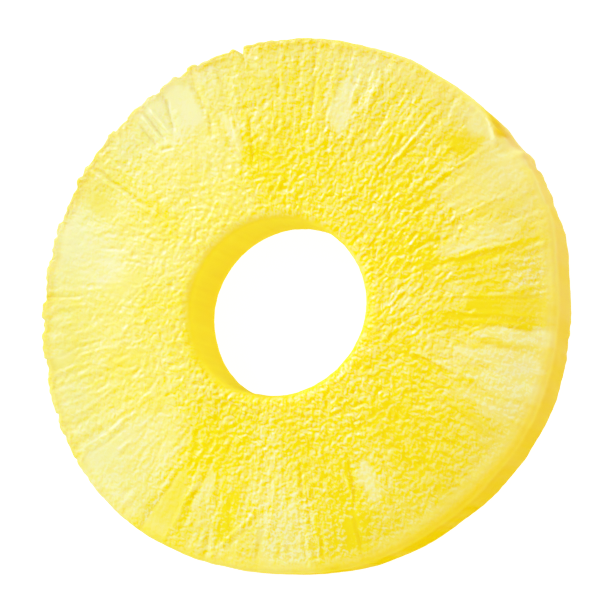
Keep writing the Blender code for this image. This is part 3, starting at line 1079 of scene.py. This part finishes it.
# %% [markdown]
# ## The flesh
#
# Wet fruit is clear on the outside and cloudy inside. Light goes in, loses its blue and comes out deep
# yellow, and a thin film of juice adds white glints. So the material is a Principled shader with
# subsurface light and a coat. All of its colour lies between a deep and a pale yellow: what looks like
# light and shade on the grain is mostly more or less blue. So the relief moves the colour along that one
# line, and never towards grey or brown: this is painted light and shade. On the side away from the lamp's
# reflection the yellow is a little greener, like lemon. The walls have golds, the hole's darker towards
# its foot, drawn down in faint streaks by the knife. The outer wall's gold is darker than the face's,
# partly its own colour and partly painted shade.

# %% Colour and wetness of the flesh
DEEP_YELLOW = (0.85, 0.63, 0.0, 1)
PALE_YELLOW = (0.83, 0.755, 0.38, 1)
LEMON_TINT = (0.975, 1.04, 1.0, 1)
HOLE_GOLD = (0.95, 0.71, 0.025, 1)
HOLE_LOW_GOLD = (0.82, 0.58, 0.02, 1)
# the outer wall's gold is darker than the face's: partly its own colour, partly painted shade
WALL_GOLD = (0.74, 0.435, 0.0, 1)
WALL_PALE = (0.75, 0.49, 0.13, 1)
RIM_DIM = 0.16
# how much paler each part of the relief makes a place: painted light and shade, the slope a painted
# highlight
HEIGHT_TONE = 0.14
SLOPE_TONE = 0.40
RAISED_TONE = 0.10
PAINTED_SHEEN_TONE = 1.0
# painted glints: on glinting wedges, the steepest slopes towards the lamp and the peaks of a noise
PAINTED_GLINT_CALM = 0.30
PAINTED_GLINT_SIZE = 0.75
PAINTED_GLINT_STRENGTH = 0.28
PAINTED_GLINT_BASE = 0.16
STEEP_FROM = 0.25
STEEP_STRENGTH = 0.9
STREAK_SIZE = (1.6, 6.0)
STREAK_STRENGTH = 0.18
BUMP_DISTANCE = 0.05 * MM
SCATTER_DISTANCE = 2.5 * MM
SCATTER_BY_COLOUR = (1.0, 0.7, 0.1)


def relief_tone(tree, place, fine, areas):
    """How much paler the relief makes a place: its slope towards the lamp's side, a painted highlight, and
    its height, partly painted shade.

    Glinting wedges are calmer and a little paler, and their steepest slopes and the peaks of a twisted noise
    stand out as painted glints.
    """
    # the slope towards the lamp's side, from a second reading one step on: a painted highlight
    turn = math.radians(PAINTED_SHEEN_SIDE)
    step = [PAINTED_SHEEN_STEP * math.cos(turn), PAINTED_SHEEN_STEP * math.sin(turn), 0]
    beyond = fine_height(tree, calculate_vector(tree, "ADD", place, step), *areas)
    drop = calculate(tree, "SUBTRACT", fine, beyond)
    tone = calculate(tree, "ADD", scaled(tree, fine, HEIGHT_TONE), scaled(tree, drop, SLOPE_TONE))
    for look, weight in {"raised": RAISED_TONE, "painted_sheen": PAINTED_SHEEN_TONE}.items():
        tone = calculate(tree, "ADD", tone, scaled(tree, attribute_of(tree, look), weight))
    painted_glint_share = attribute_of(tree, "painted_glint_share")
    calm = calculate(tree, "SUBTRACT", 1.0, scaled(tree, painted_glint_share, PAINTED_GLINT_CALM))
    tone = scaled(tree, scaled(tree, tone, attribute_of(tree, "bumpy")), calm)
    # painted glints where the slope towards the lamp is steep, and on the peaks of a twisted noise
    steep = calculate(tree, "SUBTRACT", drop, STEEP_FROM, clamp=True)
    peaks = sharpened(tree, noise_texture(tree, place, PAINTED_GLINT_SIZE, 1.0, 1.4), 0.12, 0.50)
    painted_glints = calculate(tree, "ADD", scaled(tree, steep, STEEP_STRENGTH), scaled(tree, peaks, PAINTED_GLINT_STRENGTH))
    painted_glints = calculate(tree, "ADD", painted_glints, PAINTED_GLINT_BASE)
    return calculate(tree, "ADD", tone, scaled(tree, painted_glints, painted_glint_share))


def flesh_colour(tree, place, tone, outward, wall):
    """The colour of the face from its paleness, the walls' golds, and the dimness of both, a painted shade.
    """
    pale = attribute_of(tree, "pale")
    share = calculate(tree, "ADD", pale, tone, clamp=True)
    face_colour = blend(tree, share, DEEP_YELLOW, PALE_YELLOW, "RGBA")
    tint = blend(tree, attribute_of(tree, "lemon"), (1, 1, 1, 1), LEMON_TINT, "RGBA")
    face_colour = calculate_vector(tree, "MULTIPLY", face_colour, tint)
    streaks = noise_texture(tree, wound_place(tree, place, *STREAK_SIZE), 1.0)
    streaks = scaled(tree, streaks, STREAK_STRENGTH)
    low = calculate(tree, "ADD", attribute_of(tree, "low"), streaks, clamp=True)
    hole_colour = blend(tree, low, HOLE_GOLD, HOLE_LOW_GOLD, "RGBA")
    wall_pale = calculate(tree, "ADD", pale, streaks, clamp=True)
    rim_colour = blend(tree, wall_pale, WALL_GOLD, WALL_PALE, "RGBA")
    wall_colour = blend(tree, outward, hole_colour, rim_colour, "RGBA")
    shade = calculate(tree, "SUBTRACT", 1.0, scaled(tree, attribute_of(tree, "dim"), RIM_DIM))
    colour = calculate_vector(tree, "SCALE", blend(tree, wall, face_colour, wall_colour, "RGBA"))
    plug(tree, colour.node.inputs["Scale"], shade)
    return colour


def flesh_material():
    """The whole material: colour, a fine bump, and a film of juice that is thinner on the walls."""
    material, tree, surface = new_material("wet_pineapple_flesh")
    place = add_node(tree, "ShaderNodeTexCoord", "Object", {}, {})
    place = calculate_vector(tree, "DIVIDE", place, [MM] * 3)
    outward, wall = attribute_of(tree, "outward"), attribute_of(tree, "wall")
    areas = outward, attribute_of(tree, "milky"), attribute_of(tree, "swept")
    fine = fine_height(tree, place, *areas)
    tone = relief_tone(tree, place, fine, areas)
    plug(tree, surface.inputs["Base Color"], flesh_colour(tree, place, tone, outward, wall))

    height = scaled(tree, fine, attribute_of(tree, "bumpy"))
    bump = {"Strength": 1.0, "Distance": BUMP_DISTANCE, "Height": height}
    plug(tree, surface.inputs["Normal"], add_node(tree, "ShaderNodeBump", "Normal", {}, bump))
    mottle = scaled(tree, noise_texture(tree, place, 2.4), 0.08)
    plug(tree, surface.inputs["Roughness"], calculate(tree, "ADD", mottle, 0.38, clamp=True))
    wet = calculate(tree, "ADD", scaled(tree, tone, 0.6), 0.35, clamp=True)
    on_the_face = calculate(tree, "SUBTRACT", 1.0, scaled(tree, wall, 0.97))
    plug(tree, surface.inputs["Coat Weight"], scaled(tree, wet, on_the_face))
    surface.inputs["Coat Roughness"].default_value = 0.25
    surface.inputs["Specular IOR Level"].default_value = 0.0
    surface.inputs["Subsurface Weight"].default_value = 1.0
    surface.inputs["Subsurface Radius"].default_value = SCATTER_BY_COLOUR
    surface.inputs["Subsurface Scale"].default_value = SCATTER_DISTANCE
    return material


ring_mesh.materials.append(flesh_material())
print("flesh nodes:", len(ring_mesh.materials[0].node_tree.nodes))

# %% [markdown]
# ## The studio
#
# A white light table, a bright even surround and one soft lamp to the upper left. Table and surround do
# most of the lighting, so shadows stay faint and the walls glow. The lamp is smaller and brighter: it
# adds little light, but its reflections draw every wet ridge. A single strong lamp would show more
# relief, but the hole and the near wall would fall into shade.

# %% Light table, surround and lamp
FLOOR_HALF_SIZE = 3.0
FLOOR_GAP = 0.1 * MM
TABLE_GREY = 0.30
TABLE_GLOW = 1.05
SURROUND_STRENGTH = 0.93
LAMP_DIRECTION = 138
LAMP_HEIGHT_ANGLE = 38
LAMP_DISTANCE = 0.6
LAMP_SIZE = 0.28
LAMP_POWER = 2.6


def make_floor():
    """A wide square table that gives off a little light itself, so that the slice stands on pure white."""
    mesh = bpy.data.meshes.new("floor")
    half = FLOOR_HALF_SIZE
    corners = [(-half, -half, 0), (half, -half, 0), (half, half, 0), (-half, half, 0)]
    mesh.from_pydata(corners, [], [(0, 1, 2, 3)])
    floor = bpy.data.objects.new("floor", mesh)
    bpy.context.scene.collection.objects.link(floor)
    floor.location.z = CAD_BOX[0].z - FLOOR_GAP
    material, _, surface = new_material("white_light_table")
    surface.inputs["Base Color"].default_value = (TABLE_GREY, TABLE_GREY, TABLE_GREY, 1)
    surface.inputs["Roughness"].default_value = 0.8
    surface.inputs["Specular IOR Level"].default_value = 0.0
    surface.inputs["Emission Color"].default_value = (1, 1, 1, 1)
    surface.inputs["Emission Strength"].default_value = TABLE_GLOW
    mesh.materials.append(material)


def make_surround():
    """An even white surround."""
    world = bpy.data.worlds.new("studio")
    world.use_nodes = True
    background = world.node_tree.nodes["Background"]
    background.inputs["Color"].default_value = (1, 1, 1, 1)
    background.inputs["Strength"].default_value = SURROUND_STRENGTH
    bpy.context.scene.world = world


def make_lamp():
    """A square lamp that faces the slice, placed by its direction and height angle in degrees."""
    lamp = bpy.data.lights.new("soft_lamp", "AREA")
    lamp.size = LAMP_SIZE
    lamp.energy = LAMP_POWER
    holder = bpy.data.objects.new("soft_lamp", lamp)
    bpy.context.scene.collection.objects.link(holder)
    turn, rise = math.radians(LAMP_DIRECTION), math.radians(LAMP_HEIGHT_ANGLE)
    away = Vector((math.cos(turn) * math.cos(rise), math.sin(turn) * math.cos(rise), math.sin(rise)))
    holder.location = away * LAMP_DISTANCE
    holder.rotation_euler = away.to_track_quat("Z", "Y").to_euler()


make_floor()
make_surround()
make_lamp()
print(f"lamp at {LAMP_DIRECTION} degrees, {LAMP_HEIGHT_ANGLE} degrees up, {LAMP_DISTANCE} m away")

# %% [markdown]
# ## The view curve
#
# A bright yellow on white is at the top of what a picture can hold. The plain view would cut the glints
# off flat. A camera rolls them off, so a curve does it here: it changes nothing up to 0.8, and from there
# it is flatter and flatter.

# %% A soft end for the highlights
VIEW_CURVE = [(0, 0), (0.4, 0.4), (0.8, 0.80), (1.0, 0.925), (1.2, 1.0)]


def soften_highlights(points):
    """Rolls bright values off gently, as a camera does, so that glints keep some colour."""
    view = bpy.context.scene.view_settings
    view.view_transform = "Standard"
    view.use_curve_mapping = True
    curves = view.curve_mapping
    curves.clip_max_x = points[-1][0]
    master = curves.curves[3]
    master.points[0].location = points[0]
    master.points[1].location = points[-1]
    for x, y in points[1:-1]:
        master.points.new(x, y)
    curves.update()


soften_highlights(VIEW_CURVE)
print("full white is reached at", VIEW_CURVE[-1][0])

# %% [markdown]
# ## The camera
#
# The camera looks down on the slice from a little to its right, through a long lens, which keeps the ring
# nearly round. Its tilt is one turn away from straight down, so the slice's own axes stay upright. Aimed
# with a track constraint it would roll as well, and every wedge would stand at another hour of the clock.

# %% Camera
CAMERA_DISTANCE = 345 * MM
CAMERA_TILT = math.radians(21.93)
CAMERA_SIDE = math.radians(-21.89)
LENS = 137.2
LENS_SHIFT = (0.0075, 0.0029)
SENSOR_WIDTH = 36
AIM = (0.14 * MM, -0.11 * MM)


def make_camera():
    """The camera, placed by how far it is tilted from straight down and towards which side."""
    lens = bpy.data.cameras.new("camera")
    lens.lens = LENS
    lens.sensor_width = SENSOR_WIDTH
    lens.shift_x, lens.shift_y = LENS_SHIFT
    camera = bpy.data.objects.new("camera", lens)
    bpy.context.scene.collection.objects.link(camera)
    away = Vector((
        math.sin(CAMERA_TILT) * math.cos(CAMERA_SIDE),
        math.sin(CAMERA_TILT) * math.sin(CAMERA_SIDE),
        math.cos(CAMERA_TILT),
    ))
    centre = Vector((*AIM, THICKNESS / 2 * MM))
    camera.rotation_mode = "QUATERNION"
    camera.rotation_quaternion = Vector((0, 0, 1)).rotation_difference(away)
    camera.location = centre + away * CAMERA_DISTANCE
    bpy.context.scene.camera = camera


make_camera()
print(f"camera {CAMERA_DISTANCE / MM:.0f} mm away with a {LENS} mm lens")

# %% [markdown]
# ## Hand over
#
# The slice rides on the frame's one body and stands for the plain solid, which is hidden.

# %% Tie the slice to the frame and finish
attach(ring, "root")
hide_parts(NODE)
